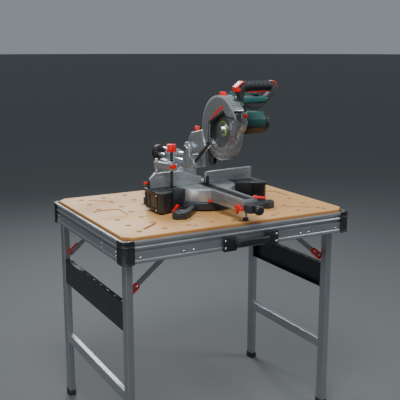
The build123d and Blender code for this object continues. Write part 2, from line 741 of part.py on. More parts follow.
def make_gear_case():
    arm = slab_x([(60, 199), (-62, 233), (-90, 280), (-30, 304), (40, 288), (62, 286), (84, 262), (97, 228)],
                 -23.4, 23.4)
    arm += rod_x(24, -23.4, 23.4, head_pivot_y, head_pivot_z)
    arm = chamfer(arm.faces().sort_by(Axis.X)[0].edges(), 2)
    arm -= rod_x(guard_radius + 0.6, -60, guard_right, arbor_y, arbor_z)
    plate = slab_x([(20, 218), (-62, 240), (-120, 276), (-150, 278), (-196, 296), (-234, 330), (-243, 345),
                    (-243, 384), (-190, 392), (-150, 372), (-90, 352), (-30, 330), (20, 300)], guard_right, 46)
    bridge = block(16, 46, -28, 20, 232, 292)
    box = rod_x(40, 40, 61, arbor_y, arbor_z) + rod_x(38, 40, 61, motor_y, motor_z)
    boss = rod_x(30, 15.5, 40, arbor_y, arbor_z)
    case = arm + plate + bridge + box + boss
    case -= rod_x(8 + fit, -60, 60, head_pivot_y, head_pivot_z)
    case -= rod_x(10 + fit, 10, 49, arbor_y, arbor_z)
    case -= rod_x(33, 48, 59, arbor_y, arbor_z) + rod_x(16, 48, 59, motor_y, motor_z)
    case -= rod_x(5 + fit, 44, 64, motor_y, motor_z)
    case -= rod_z(4 + fit, 266, 300, 0, 52)
    return case - rod_y(4 + fit, -245, -228, 36, 372)


keep("upper_guard", *on_saw(make_upper_guard()))
keep("gear_case", *on_saw(make_gear_case()))


def make_lower_guard():
    """Clear guard: a rim and two cheeks that turn about the arbor boss."""
    start, end = -145, 38
    rim = sector(116, 118.4, start, end, -15, 18)
    left = sector(70, 118, start, end, -15, -13)
    right = sector(56, 118, start, end, 16, 18)
    hub = sector(30.4, 58, start, start + 359.9, 16, 18)
    spoke = sector(56, 72, -60, -50, 16, 18)
    ribs = [sector(80, 84, start + 6, end - 6, -16.4, -14.9), sector(98, 102, start + 6, end - 6, -16.4, -14.9)]
    return rim + left + right + hub + spoke + ribs


def make_blade():
    """Toothed disc: each tooth rises steeply and falls along its back."""
    teeth = 40
    outline = []
    for i in range(teeth):
        base = i * 360 / teeth
        for offset, radius in ((0, blade_radius), (0.6, blade_radius - 7.5), (3.2, blade_radius - 8.5),
                               (6.6, blade_radius - 2.6)):
            angle = radians(base + offset)
            outline.append((arbor_y + radius * cos(angle), arbor_z + radius * sin(angle)))
    blade = slab_x(outline, -0.9, 0.9) - rod_x(10, -2, 2, arbor_y, arbor_z)
    for i in range(4):
        angle = radians(45 + 90 * i)
        blade -= rod_x(3, -2, 2, arbor_y + 70 * cos(angle), arbor_z + 70 * sin(angle))
    return blade


def make_spindle():
    shaft = rod_x(10, -8, 57, arbor_y, arbor_z)
    inner = rod_x(22, 0.9, 7, arbor_y, arbor_z)
    outer = chamfer(rod_x(22, -6, -0.9, arbor_y, arbor_z).edges().group_by(Axis.X)[0], 2)
    bolt = extrude(Plane.YZ.offset(-13) * Pos(arbor_y, arbor_z) * RegularPolygon(9, 6), 7)
    gear = rod_x(29.5, 50, 57, arbor_y, arbor_z)
    for i in range(30):
        angle = i * 2 * pi / 30
        gear -= rod_x(1.5, 49, 58, arbor_y + 29.8 * cos(angle), arbor_z + 29.8 * sin(angle))
    return shaft + inner + outer + bolt + gear


keep("lower_guard", *on_saw(make_lower_guard()))
keep("saw_blade", *on_saw(make_blade()))
keep("blade_spindle", *on_saw(make_spindle()))


# ---- motor ---------------------------------------------------------------------
motor_start, motor_split, motor_end = 61.0, 138.0, 158.0


def make_motor():
    shell = rod_x(motor_radius, motor_start, motor_split, motor_y, motor_z)
    shell -= rod_x(motor_radius - 3, motor_start + 3, motor_split + 1, motor_y, motor_z)
    shell -= rod_x(8, motor_start - 2, motor_start + 6, motor_y, motor_z)
    return shell


def make_motor_cap():
    cap = rod_x(motor_radius - 1, motor_split, motor_end, motor_y, motor_z)
    cap = fillet(cap.edges().group_by(Axis.X)[-1], 9)
    cap -= rod_x(motor_radius - 5, motor_split - 1, motor_end - 6, motor_y, motor_z)
    for i in range(-3, 4):
        cap -= block(motor_end - 14, motor_end + 1, motor_y - 26, motor_y + 26,
                     motor_z + i * 8 - 1.6, motor_z + i * 8 + 1.6)
    bearing = block(motor_split + 1, motor_split + 5, motor_y - 36, motor_y + 36, motor_z - 8, motor_z + 8)
    return cap + bearing - rod_x(5 + fit, motor_split, motor_split + 12, motor_y, motor_z)


def make_armature():
    """Wound core on its shaft, with the pinion that drives the blade gear."""
    core = rod_x(24, 72, 128, motor_y, motor_z)
    shaft = rod_x(5, 49.5, 148, motor_y, motor_z)
    pinion = rod_x(12, 50, 57, motor_y, motor_z)
    return core + shaft + pinion


keep("motor_housing", *on_saw(make_motor()))
keep("motor_end_cap", *on_saw(make_motor_cap()))
keep("motor_armature", *on_saw(make_armature()))


# ---- handle --------------------------------------------------------------------
def make_handle_body():
    """Moulded neck from the gear case up to the cross bar under the grip."""
    neck = slab_x([(-118, 362.7), (-112, 420), (-140, 452), (-190, 462), (-300, 462), (-320, 452), (-300, 432),
                   (-262, 429), (-238, 406), (-236, 385.4), (-190, 392.4), (-150, 372.4)], 28, 46)
    bar = slab_y([(-42, 434), (-36, 449), (58, 449), (63, 444), (50, 428), (-26, 428)], -354, -286)
    bar = chamfer(bar.edges().filter_by(Axis.X), 4)
    return neck + bar


def make_handle_grip():
    """Cross grip with its two struts and the dark lower half of the loop."""
    grip = rod_x(14, -34, 80, -338, 489)
    left = slab_y([(-60, 468), (-58, 484), (-36, 499), (-28, 499), (-28, 478), (-36.8, 450), (-43, 434)], -350, -326)
    hook = slab_y([(78, 478), (78, 502), (90, 500), (97, 486), (94, 468), (80, 447), (66, 434), (44, 418),
                   (20, 406), (4, 405), (-10, 412), (-26, 427.6), (50.4, 427.6), (64, 444), (59, 449.6),
                   (76.5, 465)], -351, -323)
    loop = grip + left + hook
    loop -= block(-24, 74, -343.2, -332.8, 465.5, 486)
    return loop - rod_y(2 + fit, -360, -320, -57, 474)


keep("handle_body", *on_saw(make_handle_body()))
keep("handle_grip", *on_saw(make_handle_grip()))
trigger = slab_y([(-18, 464.5), (-22, 470), (-20, 480), (70, 480), (72, 470), (66, 464.5)], -342.8, -333.2)
keep("trigger", *on_saw(trigger))


def make_lock_off_paddle():
    """Thumb paddle that wraps the left strut and turns on a pin through it."""
    face = slab_y([(-66, 468), (-66, 484.5), (-44, 502.4), (-37, 504.4), (-37, 502.2), (-43, 499.8),
                   (-62.4, 483.6), (-62, 468)], -353.6, -322.4)
    cheek = slab_y([(-66, 469), (-53, 469), (-52, 478), (-64, 485)], -353.6, -350.4)
    return face + cheek + mirror(cheek, about=Plane.XZ.offset(338)) + rod_y(2, -352, -324, -57, 474)


keep("lock_off_paddle", *on_saw(make_lock_off_paddle()))
button = rod_y(7, -254, -247.5, 36, 372) + rod_y(4, -250, -233, 36, 372)
keep("spindle_lock_button", *on_saw(button))
lock_pin = rod_z(4, 268, 290, 0, 52) + fillet(rod_z(10, 289, 309, 0, 52).edges().group_by(Axis.Z)[-1], 4)
keep("head_lock_pin", *on_saw(lock_pin))


def make_dust_chute():
    """Rubber funnel behind the blade that carries chips to the rear."""
    outer = rod_x(20, -8, 8, -72, 192) + slab_x([(-86, 200), (-56, 200), (-44, 227.9), (-60, 232.4)], -8, 8)
    inner = rod_x(17.5, -6, 6, -72, 192) + slab_x([(-82, 198), (-60, 198), (-50, 226), (-58, 229)], -6, 6)
    return outer - inner - block(-6, 6, -95, -72, 180, 200)


keep("dust_chute", *on_saw(make_dust_chute()))
link = bar_between(link_pivot, (-95, 258), 11, -30.5, -26.5) + rod_x(5, -36, -28, *link_pivot)
keep("guard_link", *on_saw(link))


# ---- workpiece clamp, planted in the left side table ---------------------------
def make_clamp_frame():
    column = rod_z(7, 13, 196, *column_place)
    arm = slab_z([(-204, 30), (-198, 37), (-186, 36), (-159, -50), (-163, -64), (-176, -62)], 164, 186)
    arm = fillet(arm.edges().filter_by(Axis.Z), 4)
    nut = rod_z(12, 160, 194, -169, -55)
    return column + arm + nut - rod_z(5 + fit, 150, 200, -169, -55)


def make_clamp_spindle():
    screw = rod_z(5, 93, 240, -169, -55)
    knob = Pos(-169, -55, 246) * Cylinder(14, 28)
    for i in range(6):
        angle = i * pi / 3
        knob += rod_z(6, 232, 260, -169 + 13 * cos(angle), -55 + 13 * sin(angle))
    return screw + knob


keep("clamp_frame", *on_saw(make_clamp_frame()))
keep("clamp_spindle", *on_saw(make_clamp_spindle()))
pad = rod_z(18, saw_table + 0.3, saw_table + 4, -169, -55) + rod_z(9, saw_table + 4, saw_table + 7.8, -169, -55)
keep("clamp_pad", *on_saw(pad))


os.makedirs("parts", exist_ok=True)
for name, solids in parts.items():
    shape = solids[0] if len(solids) == 1 else Compound(children=solids)
    export_step(shape, f"parts/{name}.step")
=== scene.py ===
from math import cos, sin, pi, radians

import bmesh
import bpy
from mathutils import Matrix, Vector


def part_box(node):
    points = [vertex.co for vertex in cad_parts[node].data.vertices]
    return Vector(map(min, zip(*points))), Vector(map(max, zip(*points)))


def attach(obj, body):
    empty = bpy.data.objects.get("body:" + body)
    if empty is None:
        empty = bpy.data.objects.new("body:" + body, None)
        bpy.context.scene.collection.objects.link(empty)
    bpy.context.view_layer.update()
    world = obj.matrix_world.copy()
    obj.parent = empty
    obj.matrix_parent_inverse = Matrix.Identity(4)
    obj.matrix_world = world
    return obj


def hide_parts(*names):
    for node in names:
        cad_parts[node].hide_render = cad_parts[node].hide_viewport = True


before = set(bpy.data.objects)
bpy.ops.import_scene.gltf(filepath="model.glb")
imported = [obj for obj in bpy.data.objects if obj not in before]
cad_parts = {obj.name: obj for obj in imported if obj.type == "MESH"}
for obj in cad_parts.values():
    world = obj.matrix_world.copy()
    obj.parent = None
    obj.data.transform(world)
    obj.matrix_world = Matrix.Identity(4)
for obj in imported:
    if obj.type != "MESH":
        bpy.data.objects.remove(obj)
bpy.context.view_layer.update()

# ---- Place of the saw on the bench ----
# The saw's own frame: x from the blade's plane, y from the fence's face and z from the
# bench top, in millimetres. Everything on the saw is placed from these three.
mm = 0.001
bench_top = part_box("table_board")[1].z
blade_low, blade_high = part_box("saw_blade")
blade_x = (blade_low.x + blade_high.x) / 2
arbor = (blade_low + blade_high) / 2
fence_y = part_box("left_fence")[0].y


def on_saw(x, y, z):
    return Vector((blade_x + x * mm, fence_y + y * mm, bench_top + z * mm))


# ---- Studio ----
# A plain grey floor with large soft lamps in a dim room. The camera stands at the
# operator's left, a little above the saw, with a long lens.
floor_radius, floor_sides = 90.0, 96
rim = [(floor_radius * cos(2 * pi * i / floor_sides), floor_radius * sin(2 * pi * i / floor_sides), 0)
       for i in range(floor_sides)]
floor_mesh = bpy.data.meshes.new("studio_floor")
floor_mesh.from_pydata(rim, [], [tuple(range(floor_sides))])
studio_floor = bpy.data.objects.new("studio_floor", floor_mesh)
bpy.context.scene.collection.objects.link(studio_floor)
floor_paint = bpy.data.materials.new("floor_paint")
floor_paint.use_nodes = True
floor_shader = floor_paint.node_tree.nodes["Principled BSDF"]
floor_shader.inputs["Base Color"].default_value = (0.11, 0.12, 0.125, 1)
floor_shader.inputs["Roughness"].default_value = 0.75
floor_mesh.materials.append(floor_paint)

studio_air = bpy.data.worlds.new("studio_air")
studio_air.use_nodes = True
air = studio_air.node_tree.nodes["Background"]
air.inputs["Color"].default_value = (0.30, 0.33, 0.36, 1)
air.inputs["Strength"].default_value = 0.8
bpy.context.scene.world = studio_air


def soft_lamp(name, place, target, size, power):
    lamp = bpy.data.lights.new(name, "AREA")
    lamp.shape = "SQUARE"
    lamp.size = size
    lamp.energy = power
    holder = bpy.data.objects.new(name, lamp)
    holder.location = place
    holder.rotation_euler = (Vector(target) - Vector(place)).to_track_quat("-Z", "Y").to_euler()
    bpy.context.scene.collection.objects.link(holder)


soft_lamp("key_lamp", (-0.9, -1.5, 3.3), (0, 0, 0.9), 1.3, 80)
soft_lamp("side_lamp", (2.8, -1.2, 2.4), (0, 0, 0.9), 1.1, 45)
soft_lamp("rim_lamp", (0.4, 2.6, 2.9), (0, 0, 1.0), 1.4, 90)
soft_lamp("low_lamp", (-3.2, -1.6, 1.2), (0, 0, 0.6), 1.6, 26)

eye = bpy.data.cameras.new("eye")
eye.sensor_width = 36.0
eye.lens = 65.7
eye_holder = bpy.data.objects.new("eye", eye)
eye_holder.location = (-1.3766, -2.4905, 1.498)
eye_holder.rotation_euler = (radians(77.75), 0, radians(-28.96))
bpy.context.scene.collection.objects.link(eye_holder)
bpy.context.scene.camera = eye_holder

# ---- Bench top ----
# A thick composite wood board with a milled edge, drilled in a square grid for bench
# dogs. The face is oiled and scuffed, and the sawn edge is darker.


def effect(name, inputs, outputs):
    """A shader node group with a Vector input and the named colours and values."""
    tree = bpy.data.node_groups.new(name, "ShaderNodeTree")
    kinds = {"v": "NodeSocketVector", "c": "NodeSocketColor", "f": "NodeSocketFloat"}
    for label, kind, value in inputs:
        socket = tree.interface.new_socket(name=label, in_out="INPUT", socket_type=kinds[kind])
        if kind != "v":
            socket.default_value = value
    for label, kind in outputs:
        tree.interface.new_socket(name=label, in_out="OUTPUT", socket_type=kinds[kind])
    return tree, tree.nodes.new("NodeGroupInput"), tree.nodes.new("NodeGroupOutput")


def noise(tree, vector, scale, detail, stretch=(1, 1, 1)):
    """Noise of a given scale over a stretched copy of the vector; gives its value."""
    mapping = tree.nodes.new("ShaderNodeMapping")
    mapping.inputs["Scale"].default_value = stretch
    tree.links.new(vector, mapping.inputs["Vector"])
    texture = tree.nodes.new("ShaderNodeTexNoise")
    texture.inputs["Scale"].default_value = scale
    texture.inputs["Detail"].default_value = detail
    tree.links.new(mapping.outputs["Vector"], texture.inputs["Vector"])
    return texture.outputs["Fac"]


def between(tree, value, low, high, to_low, to_high):
    """The value stretched from one range to another and held at its ends."""
    node = tree.nodes.new("ShaderNodeMapRange")
    ends = {"From Min": low, "From Max": high, "To Min": to_low, "To Max": to_high}
    for label, number in ends.items():
        node.inputs[label].default_value = number
    tree.links.new(value, node.inputs["Value"])
    return node.outputs["Result"]


def blended(tree, factor, first, second):
    """First colour where the factor is 0, second where it is 1."""
    node = tree.nodes.new("ShaderNodeMix")
    node.data_type = "RGBA"
    tree.links.new(factor, node.inputs[0])
    for colour, index in ((first, 6), (second, 7)):
        if isinstance(colour, tuple):
            node.inputs[index].default_value = colour
        else:
            tree.links.new(colour, node.inputs[index])
    return node.outputs[2]


def sums(tree, operation, first, second):
    """A sum, product or the like of two values, either of them a plain number."""
    node = tree.nodes.new("ShaderNodeMath")
    node.operation = operation
    for value, index in ((first, 0), (second, 1)):
        if isinstance(value, (int, float)):
            node.inputs[index].default_value = value
        else:
            tree.links.new(value, node.inputs[index])
    return node.outputs[0]


def finish(name, group, values, metallic=0.0, bump=0.3, depth=0.0004, **sockets):
    """A material whose colour, roughness and height come from one effect group."""
    material = bpy.data.materials.new(name)
    material.use_nodes = True
    tree = material.node_tree
    shader = tree.nodes["Principled BSDF"]
    place = tree.nodes.new("ShaderNodeTexCoord")
    pattern = tree.nodes.new("ShaderNodeGroup")
    pattern.node_tree = group
    for label, value in values.items():
        pattern.inputs[label].default_value = value
    tree.links.new(place.outputs["Object"], pattern.inputs["Vector"])
    tree.links.new(pattern.outputs["Colour"], shader.inputs["Base Color"])
    tree.links.new(pattern.outputs["Roughness"], shader.inputs["Roughness"])
    relief = tree.nodes.new("ShaderNodeBump")
    relief.inputs["Strength"].default_value = bump
    relief.inputs["Distance"].default_value = depth
    tree.links.new(pattern.outputs["Height"], relief.inputs["Height"])
    tree.links.new(relief.outputs["Normal"], shader.inputs["Normal"])
    shader.inputs["Metallic"].default_value = metallic
    for label, value in sockets.items():
        shader.inputs[label.replace("_", " ")].default_value = value
    return material


outputs = (("Colour", "c"), ("Roughness", "f"), ("Height", "f"))
board_wood, start, end = effect("board_wood", (
    ("Vector", "v", 0), ("Face", "c", (0.8, 0.56, 0.33, 1)), ("Worn", "c", (0.5, 0.3, 0.14, 1)),
    ("Edge", "c", (0.55, 0.26, 0.08, 1)), ("Edge Height", "f", 0.86)), outputs)
where = start.outputs["Vector"]
fibre = noise(board_wood, where, 60.0, 6.0, (0.5, 3.0, 1.0))
speck = noise(board_wood, where, 420.0, 3.0)
cloud = noise(board_wood, where, 5.5, 4.0, (1.0, 1.6, 1.0))
mark = noise(board_wood, where, 34.0, 8.0, (1.0, 0.45, 1.0))
worn = sums(board_wood, "ADD", between(board_wood, cloud, 0.42, 0.72, 0.0, 0.35),
            between(board_wood, fibre, 0.45, 0.8, 0.0, 0.25))
worn = sums(board_wood, "ADD", worn, between(board_wood, mark, 0.64, 0.74, 0.0, 0.55))
worn = sums(board_wood, "ADD", worn, between(board_wood, speck, 0.6, 0.75, 0.0, 0.18))
face = blended(board_wood, worn, start.outputs["Face"], start.outputs["Worn"])
split = board_wood.nodes.new("ShaderNodeSeparateXYZ")
board_wood.links.new(where, split.inputs["Vector"])
below = sums(board_wood, "LESS_THAN", split.outputs["Z"], start.outputs["Edge Height"])
ply = noise(board_wood, where, 8.0, 2.0, (0.4, 0.4, 90.0))
dark_ply = (0.3, 0.13, 0.04, 1)
layered = between(board_wood, ply, 0.35, 0.65, 0.0, 0.45)
edge = blended(board_wood, layered, start.outputs["Edge"], dark_ply)
board_wood.links.new(blended(board_wood, below, face, edge), end.inputs["Colour"])
board_wood.links.new(between(board_wood, cloud, 0.3, 0.7, 0.42, 0.62), end.inputs["Roughness"])
board_wood.links.new(sums(board_wood, "ADD", fibre, speck), end.inputs["Height"])
oiled_board = finish("oiled_board", board_wood, {
    "Face": (0.62, 0.34, 0.115, 1), "Worn": (0.38, 0.19, 0.055, 1), "Edge": (0.42, 0.17, 0.035, 1),
    "Edge Height": bench_top - 4.2 * mm}, bump=0.25)


def dress(nodes, material):
    """Give CAD nodes that are shown as they are their real finish."""
    for name in nodes:
        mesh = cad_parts[name].data
        mesh.materials.clear()
        mesh.materials.append(material)


dress(["table_board"], oiled_board)

# ---- Metal inserts in the bench top ----
# Turned black bushes pressed into a few of the drilled places near the front edge,
# each a low ring with a sunk middle.
moulded_skin, start, end = effect("moulded_skin", (
    ("Vector", "v", 0), ("Base", "c", (0.02, 0.02, 0.02, 1)), ("Scuff", "c", (0.08, 0.08, 0.08, 1)),
    ("Grain", "f", 900.0), ("Shine", "f", 0.45)), outputs)
where = start.outputs["Vector"]
pebble = moulded_skin.nodes.new("ShaderNodeTexVoronoi")
moulded_skin.links.new(where, pebble.inputs["Vector"])
moulded_skin.links.new(start.outputs["Grain"], pebble.inputs["Scale"])
smear = noise(moulded_skin, where, 14.0, 6.0)
dust = noise(moulded_skin, where, 130.0, 8.0)
scuff = sums(moulded_skin, "MULTIPLY", between(moulded_skin, smear, 0.45, 0.75, 0.0, 1.0),
             between(moulded_skin, dust, 0.4, 0.7, 0.05, 0.7))
skin = blended(moulded_skin, scuff, start.outputs["Base"], start.outputs["Scuff"])
moulded_skin.links.new(skin, end.inputs["Colour"])
dull = between(moulded_skin, dust, 0.3, 0.7, -0.06, 0.12)
rough = sums(moulded_skin, "ADD", start.outputs["Shine"], dull)
moulded_skin.links.new(rough, end.inputs["Roughness"])
moulded_skin.links.new(pebble.outputs["Distance"], end.inputs["Height"])

black_moulding = finish("black_moulding", moulded_skin, {
    "Base": (0.012, 0.013, 0.015, 1), "Scuff": (0.06, 0.062, 0.066, 1),
    "Grain": 1100.0, "Shine": 0.42}, bump=0.2)
red_moulding = finish("red_moulding", moulded_skin, {
    "Base": (0.72, 0.012, 0.008, 1), "Scuff": (0.45, 0.03, 0.02, 1),
    "Grain": 1300.0, "Shine": 0.3}, bump=0.08)


def lathe(profile, count):
    """A closed round mesh about Z from (radius, height) points, both ends on the axis."""
    form = bmesh.new()
    rings = []
    for radius, height in profile:
        if radius == 0:
            rings.append([form.verts.new((0, 0, height))])
        else:
            turns = [2 * pi * i / count for i in range(count)]
            rings.append([form.verts.new((radius * cos(t), radius * sin(t), height)) for t in turns])
    for low, high in zip(rings, rings[1:]):
        for i in range(count):
            j = (i + 1) % count
            face = [low[i % len(low)], low[j % len(low)], high[j % len(high)], high[i % len(high)]]
            unique = list(dict.fromkeys(face))
            if len(unique) > 2:
                form.faces.new(unique)
    bmesh.ops.recalc_face_normals(form, faces=form.faces)
    mesh = bpy.data.meshes.new("turned")
    form.to_mesh(mesh)
    form.free()
    return mesh


def scatter(name, pattern_mesh, places, material, body, turns=None, smooth=True):
    """Copies of one small part at many places, made with Geometry Nodes and applied."""
    tree = bpy.data.node_groups.new(name + "_tree", "GeometryNodeTree")
    tree.interface.new_socket(name="Geometry", in_out="INPUT", socket_type="NodeSocketGeometry")
    tree.interface.new_socket(name="Part", in_out="INPUT", socket_type="NodeSocketObject")
    size = tree.interface.new_socket(name="Size", in_out="INPUT", socket_type="NodeSocketFloat")
    size.default_value = 1.0
    tree.interface.new_socket(name="Geometry", in_out="OUTPUT", socket_type="NodeSocketGeometry")
    start, end = tree.nodes.new("NodeGroupInput"), tree.nodes.new("NodeGroupOutput")
    part_info = tree.nodes.new("GeometryNodeObjectInfo")
    copies = tree.nodes.new("GeometryNodeInstanceOnPoints")
    turn = tree.nodes.new("GeometryNodeInputNamedAttribute")
    turn.data_type = "FLOAT_VECTOR"
    turn.inputs["Name"].default_value = "turn"
    solid = tree.nodes.new("GeometryNodeRealizeInstances")
    paint = tree.nodes.new("GeometryNodeSetMaterial")
    paint.inputs["Material"].default_value = material
    tree.links.new(start.outputs["Part"], part_info.inputs["Object"])
    tree.links.new(start.outputs["Geometry"], copies.inputs["Points"])
    tree.links.new(part_info.outputs["Geometry"], copies.inputs["Instance"])
    tree.links.new(turn.outputs["Attribute"], copies.inputs["Rotation"])
    tree.links.new(start.outputs["Size"], copies.inputs["Scale"])
    tree.links.new(copies.outputs["Instances"], solid.inputs["Geometry"])
    tree.links.new(solid.outputs["Geometry"], paint.inputs["Geometry"])
    tree.links.new(paint.outputs["Geometry"], end.inputs["Geometry"])
    part = bpy.data.objects.new(name + "_part", pattern_mesh)
    points = bpy.data.meshes.new(name + "_points")
    points.from_pydata([tuple(p) for p in places], [], [])
    angles = points.attributes.new("turn", "FLOAT_VECTOR", "POINT")
    for i in range(len(places)):
        angles.data[i].vector = turns[i] if turns else (0, 0, 0)
    carrier = bpy.data.objects.new(name + "_carrier", points)
    bpy.context.scene.collection.objects.link(carrier)
    modifier = carrier.modifiers.new("copies", "NODES")
    modifier.node_group = tree
    for item in tree.interface.items_tree:
        if item.in_out == "INPUT" and item.name == "Part":
            modifier[item.identifier] = part
    seen = carrier.evaluated_get(bpy.context.evaluated_depsgraph_get())
    mesh = bpy.data.meshes.new_from_object(seen)
    bpy.data.objects.remove(carrier)
    bpy.data.objects.remove(part)
    return place_piece(name, mesh, material, body, smooth)


def place_piece(name, mesh, material, body, smooth=True):
    """A finished mesh as a piece that rides on its body and has its slot."""
    mesh.materials.clear()
    mesh.materials.append(material)
    mesh.name = name
    piece = bpy.data.objects.new(name, mesh)
    bpy.context.scene.collection.objects.link(piece)
    if smooth:
        mesh.shade_smooth()
        mesh.set_sharp_from_angle(angle=radians(35))
    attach(piece, body)
    return piece


board_low, board_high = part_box("table_board")
board_mid = (board_low + board_high) / 2
bush = lathe([(0, -1.0 * mm), (5 * mm, -1.0 * mm), (5.2 * mm, 0.3 * mm), (8 * mm, 0.5 * mm),
              (8.6 * mm, 0.1 * mm), (8.6 * mm, -1.5 * mm), (0, -1.5 * mm)], 20)
bush_rows = ((-312, (-178, -21, 156, 391)), (312, (-178, -21, 156)))
bush_places = [(board_mid.x + x * mm, board_mid.y + y * mm, bench_top)
               for y, row in bush_rows for x in row]
scatter("bench_bushes", bush, bush_places, black_moulding, "table")

# ---- Frame rails, leg tubes and cross bars ----
# Extruded aluminium with a natural finish: fine lines run along the drawn length and
# the lips are polished by handling.
drawn_metal, start, end = effect("drawn_metal", (
    ("Vector", "v", 0), ("Base", "c", (0.6, 0.62, 0.64, 1)), ("Shade", "c", (0.4, 0.42, 0.44, 1)),
    ("Along", "v", 0), ("Shine", "f", 0.34)), outputs)
where = start.outputs["Vector"]
lay = drawn_metal.nodes.new("ShaderNodeVectorMath")
lay.operation = "MULTIPLY"
drawn_metal.links.new(where, lay.inputs[0])
drawn_metal.links.new(start.outputs["Along"], lay.inputs[1])
lines = noise(drawn_metal, lay.outputs["Vector"], 500.0, 5.0)
bands = noise(drawn_metal, lay.outputs["Vector"], 60.0, 3.0)
patch = noise(drawn_metal, where, 9.0, 6.0)
shade = sums(drawn_metal, "ADD", between(drawn_metal, bands, 0.35, 0.7, 0.0, 0.35),
             between(drawn_metal, patch, 0.45, 0.75, 0.0, 0.4))
skin = blended(drawn_metal, shade, start.outputs["Base"], start.outputs["Shade"])
drawn_metal.links.new(skin, end.inputs["Colour"])
drawn_metal.links.new(sums(drawn_metal, "ADD", start.outputs["Shine"],
                           between(drawn_metal, patch, 0.35, 0.7, -0.05, 0.14)), end.inputs["Roughness"])
drawn_metal.links.new(lines, end.inputs["Height"])

rail_metal = finish("rail_metal", drawn_metal, {
    "Base": (0.46, 0.48, 0.50, 1), "Shade": (0.33, 0.35, 0.37, 1),
    "Along": (0.03, 0.03, 1.0), "Shine": 0.33},
    metallic=0.85, bump=0.12, depth=0.0002)
leg_metal = finish("leg_metal", drawn_metal, {
    "Base": (0.40, 0.42, 0.44, 1), "Shade": (0.28, 0.30, 0.32, 1),
    "Along": (1.0, 1.0, 0.02), "Shine": 0.36},
    metallic=0.85, bump=0.12, depth=0.0002)
dress(["frame_rails"], rail_metal)
dress(["left_legs", "right_legs"], leg_metal)
dress(["left_cross_bar", "right_cross_bar"], rail_metal)

# ---- Corner castings and carrying handle ----
# Glass-filled nylon caps over the rail ends, with rounded lips, and a bow handle in
# the same black on two plates in the middle of the front rail.


def eased(mesh, width, angle=32, segments=2):
    """A copy of the mesh with its sharp edges rounded off."""
    carrier = bpy.data.objects.new("carrier", mesh)
    bpy.context.scene.collection.objects.link(carrier)
    bevel = carrier.modifiers.new("round", "BEVEL")
    bevel.width = width * mm
    bevel.segments = segments
    bevel.limit_method = "ANGLE"
    bevel.angle_limit = radians(angle)
    bevel.use_clamp_overlap = True
    seen = carrier.evaluated_get(bpy.context.evaluated_depsgraph_get())
    rounded = bpy.data.meshes.new_from_object(seen)
    bpy.data.objects.remove(carrier)
    return rounded


def solid_of(node, above=None, below=None):
    """The node's solid with whole flat faces, or the part of it above or below a height."""
    form = bmesh.new()
    form.from_mesh(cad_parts[node].data)
    bmesh.ops.remove_doubles(form, verts=form.verts, dist=2e-6)
    for height, clear_above in ((above, False), (below, True)):
        if height is not None:
            bmesh.ops.bisect_plane(form, geom=form.verts[:] + form.edges[:] + form.faces[:],
                                   plane_co=(0, 0, height), plane_no=(0, 0, 1),
                                   clear_outer=clear_above, clear_inner=not clear_above)
            open_edges = [e for e in form.edges if e.is_boundary]
            bmesh.ops.holes_fill(form, edges=open_edges, sides=0)
    bmesh.ops.dissolve_limit(form, angle_limit=radians(0.8), use_dissolve_boundaries=False,
                             verts=form.verts, edges=form.edges)
    mesh = bpy.data.meshes.new(node + "_form")
    form.to_mesh(mesh)
    form.free()
    return mesh


def softened(node, material, width, body, angle=32, segments=2):
    """The node's solid with its edges rounded off as the real part's are."""
    mesh = eased(solid_of(node), width, angle, segments)
    piece = place_piece(node + "_form", mesh, material, body)
    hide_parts(node)
    return piece


softened("corner_castings", black_moulding, 0.8, "table")
softened("carry_handle", black_moulding, 1.2, "table")

# ---- Leg frames ----
# Pressed black panels with a row of slots along the top flange, black rubber feet,
# flat steel braces and red slotted latches held by a bright rivet.
cast_skin, start, end = effect("cast_skin", (
    ("Vector", "v", 0), ("Base", "c", (0.6, 0.62, 0.64, 1)), ("Shade", "c", (0.4, 0.42, 0.44, 1)),
    ("Grain", "f", 700.0), ("Shine", "f", 0.4)), outputs)
where = start.outputs["Vector"]
sand = cast_skin.nodes.new("ShaderNodeTexNoise")
sand.inputs["Detail"].default_value = 4.0
cast_skin.links.new(where, sand.inputs["Vector"])
cast_skin.links.new(start.outputs["Grain"], sand.inputs["Scale"])
stain = noise(cast_skin, where, 16.0, 7.0)
chip = noise(cast_skin, where, 95.0, 9.0)
shade = sums(cast_skin, "ADD", between(cast_skin, stain, 0.42, 0.75, 0.0, 0.5),
             between(cast_skin, chip, 0.62, 0.72, 0.0, 0.1))
skin = blended(cast_skin, shade, start.outputs["Base"], start.outputs["Shade"])
cast_skin.links.new(skin, end.inputs["Colour"])
cast_skin.links.new(sums(cast_skin, "ADD", start.outputs["Shine"],
                         between(cast_skin, chip, 0.35, 0.7, -0.05, 0.12)), end.inputs["Roughness"])
cast_skin.links.new(sand.outputs["Fac"], end.inputs["Height"])

black_enamel = finish("black_enamel", cast_skin, {
    "Base": (0.010, 0.011, 0.013, 1), "Shade": (0.022, 0.023, 0.026, 1),
    "Grain": 500.0, "Shine": 0.34},
    bump=0.1, depth=0.0002)
foot_rubber = finish("foot_rubber", moulded_skin, {
    "Base": (0.015, 0.015, 0.015, 1), "Scuff": (0.09, 0.085, 0.08, 1),
    "Grain": 700.0, "Shine": 0.72}, bump=0.3)
brace_steel = finish("brace_steel", drawn_metal, {
    "Base": (0.42, 0.43, 0.45, 1), "Shade": (0.25, 0.26, 0.28, 1),
    "Along": (0.1, 1.0, 0.1), "Shine": 0.36},
    metallic=0.9, bump=0.1, depth=0.0002)
bright_steel = finish("bright_steel", drawn_metal, {
    "Base": (0.72, 0.73, 0.75, 1), "Shade": (0.5, 0.51, 0.53, 1),
    "Along": (1.0, 0.2, 1.0), "Shine": 0.2},
    metallic=1.0, bump=0.06, depth=0.0001)
dress(["left_leg_panel", "right_leg_panel"], black_enamel)
dress(["left_braces", "right_braces", "leg_brackets"], brace_steel)
